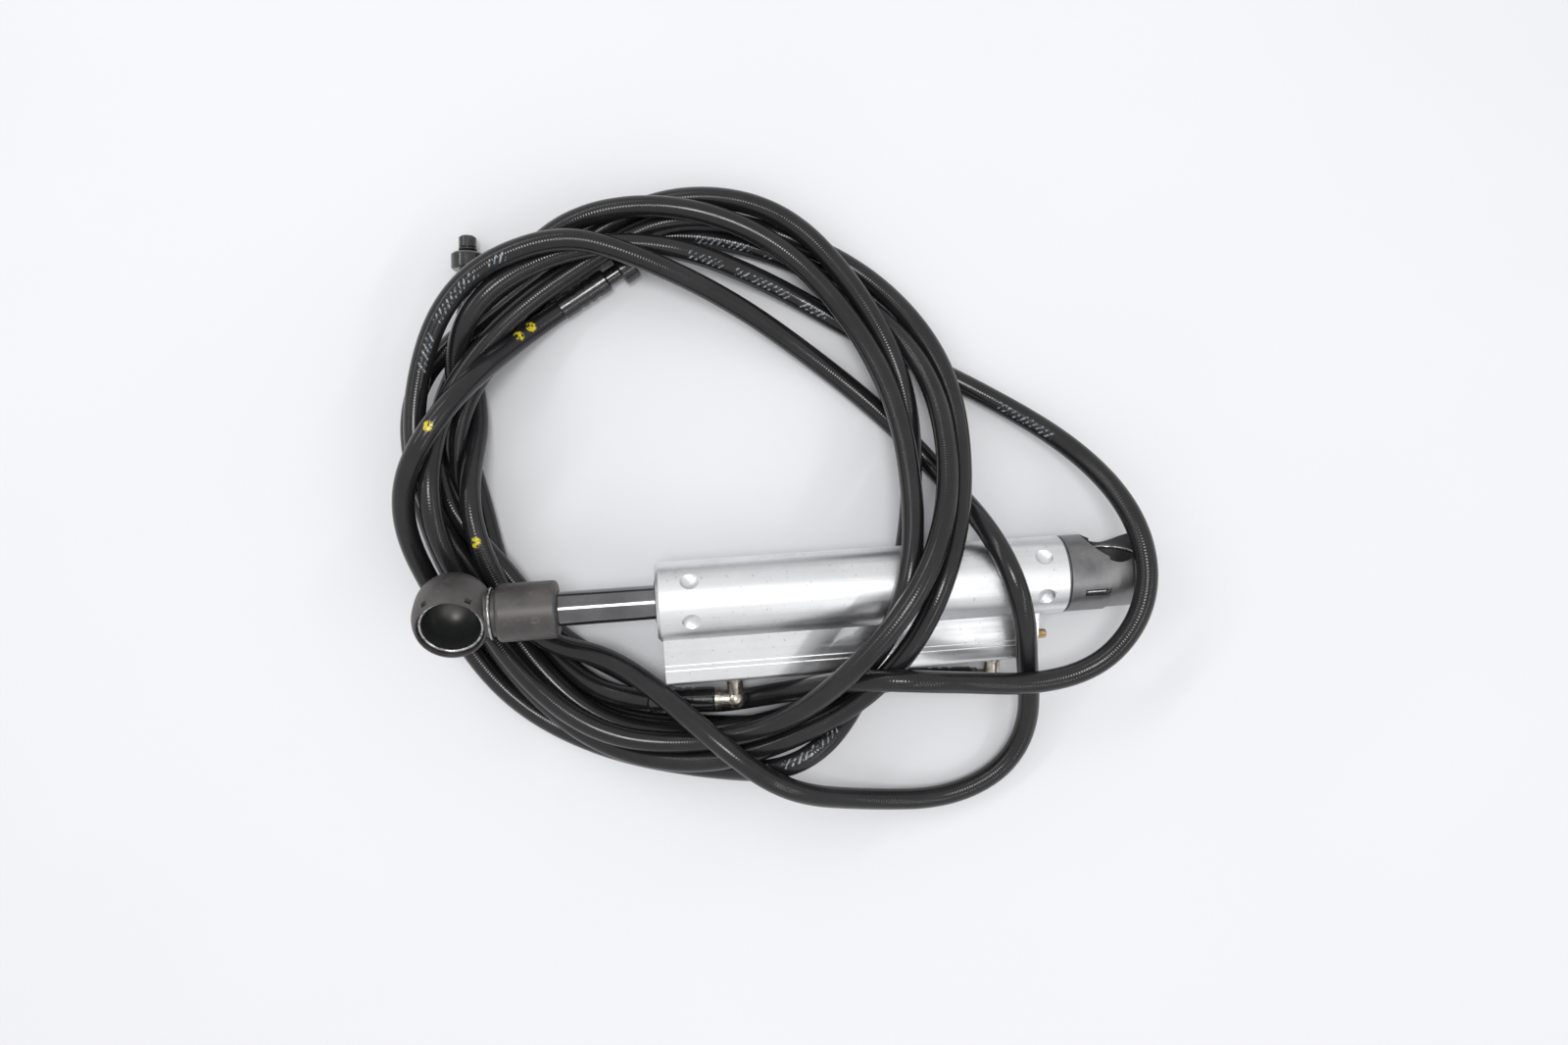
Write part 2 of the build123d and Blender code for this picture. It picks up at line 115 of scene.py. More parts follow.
HOSE_A_TURN_1 = [
    None, None, None, (67, 1), (65, 0), (68.5, 0), (77.5, 1), (83, 4),
    (80, 4), (72, 4), (68.5, 2), (70, 0.5),
]
HOSE_A_TURN_2 = [
    None, None, (63.5, 0.5), (65, 0.5), (64.5, 1), (68, 1), (78, 1.5), (87, 3),
    (84, 3), (85, 3), (81, 5), (74, 5), (70, 3), (69, 2.5), (70, 2.5), (72, 2.5),
]
HOSE_A_TURN_3 = [
    (71, 2), (73, 2), (75, 2.5), (68, 2.5), (66.5, 2.5), (71.5, 2.2), (81, 2.2), (87.5, 5), (81, 5),
]
HOSE_A_TURN_4 = [None, None, None, None, None, (70, 1.5), (72, -1)]
HOSE_B_TURN_1 = [
    (76, 0), (73, 0), (71.5, 0), (66, 0.2), (65.5, 0.2), (69.5, 0.8), (73, 0.8), (75, 1),
    (76, 1), (75, 1), (76, 1), (79, 1.5), (82, 3.5), (78.5, 4.5), (73, 5), (72, 4.5),
]
HOSE_B_TURN_2 = [
    (75, 3), (76, 3), (76.5, 3), (69.5, 3), (68, 3), (73.5, 3.5), (79.3, 3.5), (78.5, 2),
    (77.5, 1.5), (79, 1.5), (82, 2), (86, 2.5), (86, 3), (81, 4), (77, 4), (78, 4),
]
HOSE_B_TURN_3 = [
    (81, 4), (83, 4), (80, 4), (76, 4), (76.5, 4), (80.5, 4), (86, 4), (82, 2.5),
    (80.5, 2), (85.5, 2), (87.5, 5.2), (79, 5), (74, 3.2), (72.5, 2), (75, 2), (82.5, 2),
]
HOSE_B_TURN_4 = [(85.5, 2), (84.5, 2), (82.5, 2), (83.5, 2.5), (82, 3), (83.5, 5), (76, 6)]

# The stretches that aren't coiled: x, y, z in metres and layer
HOSE_A_LEAD = [(-0.0431, -0.0190, 0.0115, 3), (-0.0560, -0.0184, 0.0110, 2.5)]
HOSE_A_OUTER_LOOP = [
    (0.030, 0.088, 0.0032, 0.5), (0.062, 0.070, 0.0032, 0.5), (0.090, 0.048, 0.008, 1),
    (0.103, 0.025, 0.023, 1), (0.104, 0.002, 0.027, 1), (0.092, -0.016, 0.024, 6),
    (0.072, -0.0205, 0.020, 6), (0.052, -0.018, 0.020, 6), (0.034, -0.014, 0.020, 6),
    (0.018, -0.014, 0.020, 6), (0.004, -0.0188, 0.012, 3), (-0.009, -0.022, 0.004, 0),
    (-0.025, -0.0235, 0.0034, 0), (-0.041, -0.0205, 0.0034, 0.2),
]
HOSE_A_LOWER_LOOP = [
    (-0.040, 0.115, 0.0032, 5), (-0.012, 0.101, 0.0032, 3), (0.014, 0.080, 0.0032, 0.5),
    (0.034, 0.059, 0.0032, 0.3), (0.049, 0.039, 0.012, 0.2), (0.059, 0.021, 0.024, 0),
    (0.066, 0.003, 0.024, 0), (0.069, -0.015, 0.014, 0), (0.0715, -0.033, 0.004, 1),
    (0.064, -0.0485, 0.0032, 1), (0.045, -0.0565, 0.0032, 1), (0.020, -0.0535, 0.0032, 3),
    (-0.003, -0.045, 0.0032, 7), (-0.020, -0.031, 0.010, 8), (-0.038, -0.0155, 0.014, 8),
    (-0.0555, -0.0035, 0.008, 7), (-0.073, 0.000, 0.005, 5), (-0.088, 0.011, 0.005, 3.5),
]
HOSE_A_TAIL = [(-0.0927, 0.0812, 0.00505, -1), (-0.09202, 0.09322, 0.00505, -1)]
HOSE_B_LEAD = [(0.0348, -0.0190, 0.0040, 0), (0.0228, -0.0185, 0.0036, 0)]
HOSE_B_TAIL = [(-0.0738, 0.0947, 0.00505, 1.6), (-0.06335, 0.10065, 0.00505, 1.6)]


def turn(rows):
    """One turn of the coil as x, y, z and layer, lying on the floor."""
    points = []
    for bearing, row in zip(BEARINGS, rows):
        if row is not None:
            radius = row[0] * MM
            x = COIL_CENTRE[0] + radius * math.cos(bearing)
            y = COIL_CENTRE[1] + radius * math.sin(bearing)
            points.append((x, y, HOSE_R, row[1]))
    return points


HOSE_A_ROUTE = (
    HOSE_A_LEAD + turn(HOSE_A_TURN_1) + HOSE_A_OUTER_LOOP + turn(HOSE_A_TURN_2)
    + turn(HOSE_A_TURN_3) + HOSE_A_LOWER_LOOP + turn(HOSE_A_TURN_4) + HOSE_A_TAIL
)
HOSE_B_ROUTE = (
    HOSE_B_LEAD + turn(HOSE_B_TURN_1) + turn(HOSE_B_TURN_2) + turn(HOSE_B_TURN_3)
    + turn(HOSE_B_TURN_4) + HOSE_B_TAIL
)


# ---------------------------------------------------------------- settling the hoses

SAMPLES_PER_SPAN = 10
LAYER_GAP = 6 * MM          # how far apart the layers start, before the pile settles
PAIR_REACH = 2.4 * HOSE_D   # samples that start further apart than this in plan never touch
HELD_SAMPLES = 14           # how many samples at each hose end are inside or beside their ferrule
SIDEWAYS = 0.5              # a touching pair parts more upwards than sideways
ORDER_BIAS = 2.5 * MM       # keeps the upper hose of a pair on top
SHARE_FLOOR = 1.5           # softens the push on a point that only few touching samples share
WANDER = 5 * MM             # the furthest that a point may slide from its place on the route
HOME_PULL = 0.93            # how much of its slide a point keeps each round

# Each stage of the settling: rounds, stiffness, how far the hoses sink in a round, and how hard touching
# samples part. The last stage only parts what still touches.
STAGES = [(250, 0.2, 0.45 * MM, 1.2), (200, 0.1, 0.22 * MM, 1.5), (150, 0, 0, 1.5)]


def spline_weights(count):
    """Rows of weights that turn the route's points into points along its clamped quadratic spline."""
    rows = []
    for step in range((count - 2) * SAMPLES_PER_SPAN + 1):
        u = step / SAMPLES_PER_SPAN
        span = min(int(u), count - 3)
        knots = [max(0, min(count - 2, span + k)) for k in (-1, 0, 1, 2)]
        a = (u - knots[0]) / (knots[2] - knots[0])
        b = (u - knots[1]) / (knots[2] - knots[1])
        c = (u - knots[1]) / (knots[3] - knots[1])
        row = np.zeros(count)
        row[span] = (1 - a) * (1 - b)
        row[span + 2] = b * c
        row[span + 1] = 1 - row[span] - row[span + 2]
        rows.append(row)
    return np.array(rows)


# What the hoses lie against, with some room round the moving parts: round stretches about the barrel's axis
# as start, end and radius, from the rod's neck to the rear cap; the barrel's block; and the two spheres that
# make up the rod end's socket, here and further in, so that it slides in over the hoses without touching them
ROUND_STRETCHES = [
    (-49.4 * MM, -45.0 * MM, 8.1 * MM), (-45.0 * MM, -27.8 * MM, 8.65 * MM), (-27.8 * MM, 0, 5.3 * MM),
    (0, 120 * MM, 11.5 * MM), (120 * MM, 145.5 * MM, 11.35 * MM),
]
BLOCK_LOW = np.array([1.3, -24.4, -6.25]) * MM
BLOCK_HIGH = np.array([112, -7, 6.25]) * MM
SOCKET_CENTRE = BARREL_FRONT - 57.4 * MM * BARREL_ALONG
SOCKET_SPHERES = [
    SOCKET_CENTRE + slide * MM * BARREL_ALONG + along * MM * MOUTH_WAY
    for slide in (0, 9, 18, 27) for along in (-2.2, 0.8)
]
SOCKET_R = 12.1 * MM

# Radii of the fittings on the hoses' way
ELBOW_R = 3.3 * MM
FERRULE_R = 3.6 * MM
CONNECTOR_R = 4.2 * MM


def push_out(away, clear):
    """How far to move along away so that its length becomes clear, where it is shorter."""
    distance = np.maximum(np.linalg.norm(away, axis=1), 1e-7)
    return away * (np.maximum(0, clear - distance) / distance)[:, None]


def push_clear(points, reach):
    """How far each point has to move to be clear of the cylinder and the floor."""
    local = (points - BARREL_FRONT) @ BARREL_AXES
    clear = np.zeros(len(points))
    for start, end, radius in ROUND_STRETCHES:
        clear[(local[:, 0] > start) & (local[:, 0] < end)] = radius + reach
    push = push_out(local * np.array([0, 1, 1]), clear)
    push += push_out(local - np.clip(local, BLOCK_LOW, BLOCK_HIGH), reach)
    push = push @ BARREL_AXES.T
    for centre in SOCKET_SPHERES:
        push += push_out(points + push - centre, SOCKET_R + reach)
    push[:, 2] += np.maximum(0, reach - (points[:, 2] + push[:, 2]))
    return push


def capsule(node, radius):
    """The centreline of a long CAD node, as a row of points, and its radius at each."""
    points = np.array([v.co for v in nodes[node].data.vertices])
    centre = (points.min(0) + points.max(0)) / 2
    along = np.linalg.svd(points - points.mean(0), full_matrices=False)[2][0]
    reach = np.abs((points - centre) @ along).max()
    steps = np.linspace(-reach, reach, max(3, int(reach / (0.75 * MM))))
    return centre + steps[:, None] * along, np.full(len(steps), radius)


def elbow(node, radius):
    """The two legs of an elbow: across from the block, and back along the barrel to its ferrule."""
    low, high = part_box(node)
    middle = (low.z + high.z) / 2
    corner = np.array((high.x - radius, low.y + radius, middle))
    top = np.array((high.x - radius, high.y, high.z - radius))
    mouth = np.array((low.x, low.y + radius, middle))
    share = np.linspace(0, 1, 8)[:, None]
    points = np.concatenate([corner + (top - corner) * share, corner + (mouth - corner) * share])
    return points, np.full(len(points), radius)


def fixed_fittings():
    """The centrelines and radii of everything on the hoses' way that push_clear leaves out."""
    found = [elbow(name, ELBOW_R) for name in ("front_elbow", "rear_elbow")]
    for name in ("front_hose_ferrule", "rear_hose_ferrule", "hose_a_end_ferrule", "hose_b_end_ferrule"):
        found.append(capsule(name, FERRULE_R))
    found.append(capsule("hose_b_connector", CONNECTOR_R))
    return np.concatenate([p for p, _ in found]), np.concatenate([r for _, r in found])


class Pile:
    """The hoses as springy splines that push each other apart where they touch."""

    def __init__(self, routes):
        self.weights = [spline_weights(len(route)) for route in routes]
        self.points = []
        for route in routes:
            row = np.array(route)
            lifted = np.maximum(row[:, 2], HOSE_R + np.maximum(row[:, 3], 0) * LAYER_GAP)
            lifted[[0, 1, -2, -1]] = row[[0, 1, -2, -1], 2]
            self.points.append(np.stack([row[:, 0], row[:, 1], lifted], 1))
        self.home = [p.copy() for p in self.points]
        self.fittings, fitting_radii = fixed_fittings()
        self.moving = sum(len(w) for w in self.weights)
        layers = [w @ np.array(route)[:, 3] for w, route in zip(self.weights, routes)]
        self.find_pairs(fitting_radii, np.concatenate(layers))

    def samples(self):
        """Every sample's place: the hoses' first, then the fittings'."""
        lines = [w @ p for w, p in zip(self.weights, self.points)]
        return np.concatenate(lines + [self.fittings])

    def find_pairs(self, fitting_radii, layers):
        """Every pair of samples that could touch, leaving out neighbours along one hose."""
        where = self.samples()
        radii = np.concatenate([np.full(self.moving, HOSE_R), fitting_radii])
        owner = np.concatenate([np.full(len(w), k) for k, w in enumerate(self.weights)]
                               + [np.full(len(fitting_radii), len(self.weights))])
        number = np.arange(len(where))
        flat = ((where[:, None, :2] - where[None, :, :2]) ** 2).sum(2)
        near = (flat < PAIR_REACH ** 2) & (number[:, None] < number[None, :])
        same = owner[:, None] == owner[None, :]
        near &= ~(same & (np.abs(number[:, None] - number[None, :]) < 2 * SAMPLES_PER_SPAN))
        near[self.moving:] = False
        first = 0
        for w in self.weights:
            last = first + len(w) - 1
            for end in (first, last):
                held = np.nonzero(np.abs(number[:self.moving] - end) < HELD_SAMPLES)[0]
                near[held, self.moving:] = False
            first = last + 1
        self.one, self.other = np.nonzero(near)
        self.apart = radii[self.one] + radii[self.other]
        order = np.zeros(len(where))
        order[:self.moving] = layers
        self.bias = np.clip(order[self.one] - order[self.other], -1, 1) * ORDER_BIAS
        self.bias[self.other >= self.moving] = 0

    def overlaps(self, where):
        """Which pairs overlap, by how much, and the direction in which each one parts."""
        gap = where[self.one] - where[self.other]
        overlap = self.apart - np.linalg.norm(gap, axis=1)
        way = gap * np.array([SIDEWAYS, SIDEWAYS, 1])
        way[:, 2] += self.bias
        way /= np.maximum(np.linalg.norm(way, axis=1), 1e-9)[:, None]
        return overlap > 0, overlap, way

    def pushes(self):
        """Each moving sample's share of the way out of what it touches."""
        where = self.samples()
        hit, overlap, way = self.overlaps(where)
        one, other = self.one[hit], self.other[hit]
        step = way[hit] * overlap[hit][:, None]
        share = np.where(other >= self.moving, 1.0, 0.5)[:, None]
        push = np.zeros_like(where)
        touches = np.zeros(len(where))
        np.add.at(push, one, step * share)
        np.add.at(push, other, -step * (1 - share))
        np.add.at(touches, one, 1)
        np.add.at(touches, other, 1)
        push = (push / np.maximum(touches, 1)[:, None])[:self.moving]
        return push + push_clear(where[:self.moving], HOSE_R)

    def step(self, stiffness, drop, gain):
        """One round: part what touches, straighten a little, and sink under the hose's own weight."""
        push = self.pushes()
        first = 0
        for weights, points, home in zip(self.weights, self.points, self.home):
            part = push[first:first + len(weights)]
            first += len(weights)
            touched = weights.T @ (np.abs(part).sum(1) > 0)
            points += gain * (weights.T @ part) / np.maximum(touched, SHARE_FLOOR)[:, None]
            slide = (points - home)[:, :2]
            if stiffness:
                slide[1:-1] += stiffness * ((slide[:-2] + slide[2:]) / 2 - slide[1:-1])
                slide *= HOME_PULL
                height = points[:, 2]
                height[1:-1] += stiffness * ((height[:-2] + height[2:]) / 2 - height[1:-1])
                height[1:-1] -= drop
            size = np.linalg.norm(slide, axis=1)
            points[:, :2] = home[:, :2] + slide * np.minimum(1, WANDER / np.maximum(size, 1e-9))[:, None]
            points[[0, 1, -2, -1]] = home[[0, 1, -2, -1]]
            points[:, 2] = np.maximum(points[:, 2], HOSE_R)

    def settle(self):
        """Go through the stages, and give each hose's centreline."""
        for rounds, stiffness, drop, gain in STAGES:
            for _ in range(rounds):
                self.step(stiffness, drop, gain)
        return [w @ p for w, p in zip(self.weights, self.points)]


def distances_along(line):
    """How far along a line each of its points is."""
    return np.concatenate([[0], np.cumsum(np.linalg.norm(np.diff(line, axis=0), axis=1))])


def places_along(line, wanted):
    """The places on a line at the wanted distances from its start."""
    travelled = distances_along(line)
    return np.stack([np.interp(wanted, travelled, line[:, k]) for k in range(3)], 1)


CURVE_PITCH = 9 * MM


def hose_curve(name, line):
    """A hose as one open spline through even steps of its settled line, and its length."""
    length = distances_along(line)[-1]
    count = int(round(length / CURVE_PITCH)) + 1
    points = places_along(line, np.linspace(0, length, count))
    data = bpy.data.curves.new(name, "CURVE")
    data.dimensions = "3D"
    data.twist_mode = "Z_UP"
    data.bevel_depth = 1.0   # times each point's own radius
    data.bevel_resolution = 6
    data.resolution_u = 7
    data.use_fill_caps = True
    spline = data.splines.new("NURBS")
    spline.points.add(len(points) - 1)
    for point, place in zip(spline.points, points):
        point.co = (*place, 1)
        point.radius = HOSE_R
    spline.order_u = 3
    spline.use_endpoint_u = True
    obj = bpy.data.objects.new(name, data)
    bpy.context.scene.collection.objects.link(obj)
    return obj, length


def declare_hose(hose, replaced):
    """Hang the hose on the barrel's body and hide the CAD nodes that it takes the place of."""
    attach(hose, "barrel")
    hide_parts(*replaced)


hose_a_line, hose_b_line = Pile([HOSE_A_ROUTE, HOSE_B_ROUTE]).settle()
hose_a, hose_a_length = hose_curve("hose_a", hose_a_line)
hose_b, hose_b_length = hose_curve("hose_b", hose_b_line)
declare_hose(hose_a,
             ["hose_a_lead", "hose_a_outer_loop", "hose_a_lower_loop", "hose_a_tail", "hose_coil"])
declare_hose(hose_b, ["hose_b_lead", "hose_b_tail", "hose_coil"])


# ---------------------------------------------------------------- materials

class Finish:
    """A material under construction: its node tree, its shader and its texture coordinates."""

    def __init__(self, name, colour, metallic, roughness, coords="Object"):
        self.material = bpy.data.materials.new(name)
        self.material.use_nodes = True
        self.tree = self.material.node_tree
        self.shader = self.tree.nodes["Principled BSDF"]
        self.set("Base Color", (*colour, 1))
        self.set("Metallic", metallic)
        self.set("Roughness", roughness)
        self.coords = self.add("ShaderNodeTexCoord").outputs[coords]

    def set(self, socket, value):
        """Link or set one of the shader's sockets."""
        if isinstance(value, bpy.types.NodeSocket):
            self.tree.links.new(value, self.shader.inputs[socket])
        else:
            self.shader.inputs[socket].default_value = value

    def add(self, kind, inputs=None, **settings):
        """A new node with its inputs linked or set, and its settings."""
        made = self.tree.nodes.new(kind)
        for key, value in settings.items():
            setattr(made, key, value)
        for key, value in (inputs or {}).items():
            if isinstance(value, bpy.types.NodeSocket):
                self.tree.links.new(value, made.inputs[key])
            else:
                made.inputs[key].default_value = value
        return made

    def along_barrel(self, scale):
        """The coordinates in the barrel's own frame, each multiplied by its own scale."""
        inputs = {
            "Vector": self.coords,
            "Location": tuple(BARREL_FRONT),
            "Rotation": (BARREL_ROLL, BARREL_TILT, 0),
            "Scale": tuple(1 / s for s in scale),
        }
        return self.add("ShaderNodeMapping", inputs, vector_type="TEXTURE").outputs[0]

    def noise(self, scale, detail=3, roughness=0.55, vector=None):
        inputs = {"Vector": vector or self.coords, "Scale": scale, "Detail": detail, "Roughness": roughness}
        return self.add("ShaderNodeTexNoise", inputs).outputs["Fac"]

    def spread(self, value, low, high, to_low=0, to_high=1):
        """value between low and high, spread from to_low to to_high and held there."""
        inputs = {"Value": value, "From Min": low, "From Max": high, "To Min": to_low, "To Max": to_high}
        return self.add("ShaderNodeMapRange", inputs, clamp=True).outputs["Result"]

    def maths(self, operation, a, b=0.0):
        return self.add("ShaderNodeMath", {0: a, 1: b}, operation=operation).outputs[0]

    def mix(self, factor, a, b):
        """Colour a where factor is 0 and b where it is 1."""
        made = self.add("ShaderNodeMix", {"Factor": factor}, data_type="RGBA")
        for socket, value in (("A_Color", a), ("B_Color", b)):
            target = next(s for s in made.inputs if s.identifier == socket)
            if isinstance(value, bpy.types.NodeSocket):
                self.tree.links.new(value, target)
            else:
                target.default_value = (*value, 1)
        return next(s for s in made.outputs if s.identifier == "Result_Color")

    def bump(self, height, depth, strength):
        """A relief of that depth in metres."""
        inputs = {"Height": height, "Distance": depth, "Strength": strength}
        return self.add("ShaderNodeBump", inputs).outputs["Normal"]


def barrel_aluminium():
    """Drawn aluminium: lines along the barrel, small pits and faint handling marks."""
    f = Finish("barrel_aluminium", (0.80, 0.81, 0.82), 1.0, 0.3)
    lines = f.noise(1, 4, 0.6, f.along_barrel((14, 900, 900)))
    broad = f.noise(1, 3, 0.5, f.along_barrel((25, 140, 140)))
    smudges = f.noise(75, 5, 0.6)
    pits = f.spread(f.noise(900, 2, 0.5), 0.66, 0.74)
    scratches = f.spread(f.noise(1, 2, 0.5, f.along_barrel((160, 1400, 1400))), 0.68, 0.75)
    tone = f.mix(f.spread(smudges, 0.35, 0.7), (0.90, 0.905, 0.915), (0.78, 0.785, 0.80))
    tone = f.mix(f.spread(lines, 0.4, 0.75, 0, 0.35), tone, (0.60, 0.61, 0.63))
    tone = f.mix(f.maths("MULTIPLY", pits, 0.5), tone, (0.35, 0.35, 0.36))
    f.set("Base Color", tone)
    rough = f.maths("ADD", f.spread(lines, 0.3, 0.7, 0.31, 0.42), f.spread(smudges, 0.3, 0.7, -0.03, 0.09))
    f.set("Roughness", rough)
    height = f.maths("ADD", f.maths("MULTIPLY", lines, 0.35), f.maths("MULTIPLY", broad, 0.65))
    height = f.maths("SUBTRACT", height, f.maths("MULTIPLY", pits, 0.6))
    height = f.maths("SUBTRACT", height, f.maths("MULTIPLY", scratches, 0.3))
    f.set("Normal", f.bump(height, 0.06 * MM, 0.55))
    return f.material


def inner_aluminium():
    """The piston and the gland: turned aluminium with fine rings round it."""
    f = Finish("inner_aluminium", (0.66, 0.67, 0.69), 1.0, 0.33)
    rings = f.noise(1, 3, 0.5, f.along_barrel((1600, 60, 60)))
    smudges = f.noise(160, 4, 0.6)
    f.set("Base Color", f.mix(f.spread(smudges, 0.35, 0.7), (0.70, 0.71, 0.73), (0.50, 0.50, 0.51)))
    f.set("Roughness", f.spread(smudges, 0.3, 0.7, 0.27, 0.42))
    f.set("Normal", f.bump(rings, 0.03 * MM, 0.5))
    return f.material


def dark_steel():
    """The rear cap and the piston's nut: phosphated steel, satin, a little worn."""
    f = Finish("dark_steel", (0.2, 0.2, 0.205), 0.85, 0.36)
    grain = f.noise(2600, 3, 0.6)
    wear = f.spread(f.noise(420, 6, 0.7), 0.60, 0.72)
    smudges = f.noise(110, 4, 0.6)
    tone = f.mix(f.spread(smudges, 0.3, 0.7), (0.17, 0.17, 0.175), (0.28, 0.28, 0.285))
    f.set("Base Color", f.mix(f.maths("MULTIPLY", wear, 0.5), tone, (0.34, 0.33, 0.32)))
    f.set("Roughness", f.spread(smudges, 0.3, 0.7, 0.30, 0.46))
    f.set("Normal", f.bump(grain, 0.035 * MM, 0.5))
    return f.material


def socket_steel():
    """The rod end's socket and its sleeve: brownish phosphate, matt, rubbed brighter in places, and darker and
    glossier inside, round the ball's place."""
    f = Finish("socket_steel", (0.06, 0.056, 0.055), 0.55, 0.45)
    grain = f.noise(1900, 4, 0.65)
    wear = f.spread(f.noise(300, 6, 0.72), 0.57, 0.70)
    smudges = f.noise(90, 5, 0.6)
    tone = f.mix(f.spread(smudges, 0.3, 0.7), (0.068, 0.063, 0.063), (0.12, 0.112, 0.110))
    tone = f.mix(f.maths("MULTIPLY", wear, 0.45), tone, (0.20, 0.18, 0.165))
    # Inside the seat, round the ball's place, the colour is made darker and the finish glossier
    from_ball = f.add("ShaderNodeVectorMath", {0: f.coords, 1: BALL_PLACE}, operation="DISTANCE")
    inside = f.spread(from_ball.outputs["Value"], 9.9 * MM, 9.2 * MM)
    f.set("Base Color", f.mix(inside, tone, (0.050, 0.055, 0.052)))
    greasy = f.maths("MULTIPLY", inside, -0.26)
    f.set("Roughness", f.maths("ADD", f.spread(smudges, 0.3, 0.7, 0.36, 0.55), greasy))
    f.set("Normal", f.bump(grain, 0.05 * MM, 0.6))
    return f.material


def rod_chrome():
    """The rod: dark and polished, with hairlines along it and a thin film of oil."""
    f = Finish("rod_chrome", (0.07, 0.07, 0.075), 0.9, 0.12)
    lines = f.noise(1, 3, 0.5, f.along_barrel((30, 1500, 1500)))
    film = f.noise(60, 4, 0.6)
    f.set("Base Color", f.mix(f.spread(film, 0.35, 0.7), (0.13, 0.13, 0.138), (0.22, 0.22, 0.23)))
    f.set("Roughness", f.spread(film, 0.3, 0.7, 0.08, 0.20))
    f.set("Normal", f.bump(lines, 0.012 * MM, 0.5))
    f.set("Coat Weight", 0.4)
    f.set("Coat Roughness", 0.08)
    return f.material


def spring_wire():
    """The spring rings and the two wires: bright steel with dark tarnish."""
    f = Finish("spring_wire", (0.62, 0.62, 0.63), 1.0, 0.24)
    tarnish = f.spread(f.noise(700, 4, 0.6), 0.45, 0.7)
    f.set("Base Color", f.mix(tarnish, (0.52, 0.53, 0.54), (0.14, 0.135, 0.13)))
    f.set("Roughness", f.spread(f.noise(900, 2), 0.3, 0.7, 0.18, 0.36))
    return f.material


def nickel_steel():
    """The elbows: warm plated steel, dulled and stained."""
    f = Finish("nickel_steel", (0.56, 0.52, 0.46), 1.0, 0.3)
    stain = f.noise(330, 6, 0.65)
    tone = f.mix(f.spread(stain, 0.40, 0.62), (0.66, 0.62, 0.56), (0.30, 0.265, 0.22))
    f.set("Base Color", tone)
    f.set("Roughness", f.spread(stain, 0.35, 0.7, 0.22, 0.45))
    f.set("Normal", f.bump(f.noise(1500, 3), 0.03 * MM, 0.5))
    return f.material


def plug_brass():
    """The channel's plug: dull brass."""
    f = Finish("plug_brass", (0.62, 0.44, 0.20), 1.0, 0.32)
    stain = f.noise(600, 5, 0.6)
    f.set("Base Color", f.mix(f.spread(stain, 0.4, 0.68), (0.66, 0.48, 0.23), (0.26, 0.17, 0.09)))
    f.set("Roughness", f.spread(stain, 0.3, 0.7, 0.26, 0.45))
    return f.material


def ferrule_black():
    """The crimped ferrules and the connectors: glossy black enamel, slightly rippled."""
    f = Finish("ferrule_black", (0.012, 0.012, 0.013), 0.0, 0.18)
    ripple = f.noise(420, 3, 0.5)
    scuff = f.spread(f.noise(520, 6, 0.7), 0.60, 0.70)
    f.set("Base Color", f.mix(f.maths("MULTIPLY", scuff, 0.6), (0.010, 0.010, 0.011), (0.09, 0.088, 0.085)))
    f.set("Roughness", f.spread(ripple, 0.3, 0.7, 0.12, 0.32))
    f.set("Normal", f.bump(ripple, 0.10 * MM, 0.5))
    f.set("Coat Weight", 0.5)
    f.set("Coat Roughness", 0.08)
    return f.material


def seal_rubber():
    """The seals and O-rings: dusty black rubber."""
    f = Finish("seal_rubber", (0.018, 0.018, 0.018), 0.0, 0.42)
    dust = f.noise(300, 5, 0.6)
    f.set("Base Color", f.mix(f.spread(dust, 0.45, 0.75), (0.014, 0.014, 0.014), (0.06, 0.058, 0.055)))
    f.set("Normal", f.bump(f.noise(1800, 2), 0.02 * MM, 0.5))
    return f.material


def guide_plastic():
    """The piston's guide ring: brown filled plastic."""
    f = Finish("guide_plastic", (0.20, 0.15, 0.10), 0.0, 0.45)
    grain = f.noise(900, 4, 0.6)
    f.set("Base Color", f.mix(grain, (0.17, 0.125, 0.085), (0.26, 0.20, 0.14)))
    f.set("Normal", f.bump(grain, 0.02 * MM, 0.4))
    return f.material


PRINT_DASH = 1.9 * MM      # from one printed dash to the next
PRINT_GROUP = 23 * MM      # from one group of dashes to the next
PRINT_CENTRE = 0.25        # the print's place round the hose, on its upper side


def print_marks(f, along, around, stretches):
    """Worn white print: slanted dashes in broken groups, on one side of the hose."""
    band = f.spread(f.maths("ABSOLUTE", f.maths("SUBTRACT", around, PRINT_CENTRE)), 0.070, 0.055)
    slant = f.maths("ADD", f.maths("DIVIDE", along, PRINT_DASH), f.maths("MULTIPLY", around, 9))
    dash = f.spread(f.maths("FRACT", slant), 0.42, 0.34)
    place = f.add("ShaderNodeCombineXYZ", {"X": along, "Y": f.maths("MULTIPLY", around, 20 * MM)}).outputs[0]
    worn = f.spread(f.noise(900, 3, 0.6, place), 0.46, 0.56)
    group = f.spread(f.maths("FRACT", f.maths("DIVIDE", along, PRINT_GROUP)), 0.84, 0.80)
    mark = f.maths("MULTIPLY", f.maths("MULTIPLY", band, dash), f.maths("MULTIPLY", worn, group))
    where = None
    for start, end in stretches:
        one = f.maths("MULTIPLY", f.maths("GREATER_THAN", along, start), f.maths("LESS_THAN", along, end))
        where = one if where is None else f.maths("ADD", where, one)
    return f.maths("MULTIPLY", mark, where)


def paint_dabs(f, solid, places):
    """Small dabs of paint at given places on a hose, with ragged edges."""
    edge, core = 1.8 * MM, 1.4 * MM
    dabs = None
    ragged = f.spread(f.noise(1100, 3, 0.6, solid), 0.42, 0.50)
    for place in places:
        away = f.add("ShaderNodeVectorMath", {0: solid, 1: place}, operation="DISTANCE").outputs["Value"]
        dab = f.spread(away, edge, core)
        dabs = dab if dabs is None else f.maths("ADD", dabs, dab)
    return f.maths("MULTIPLY", dabs, ragged)


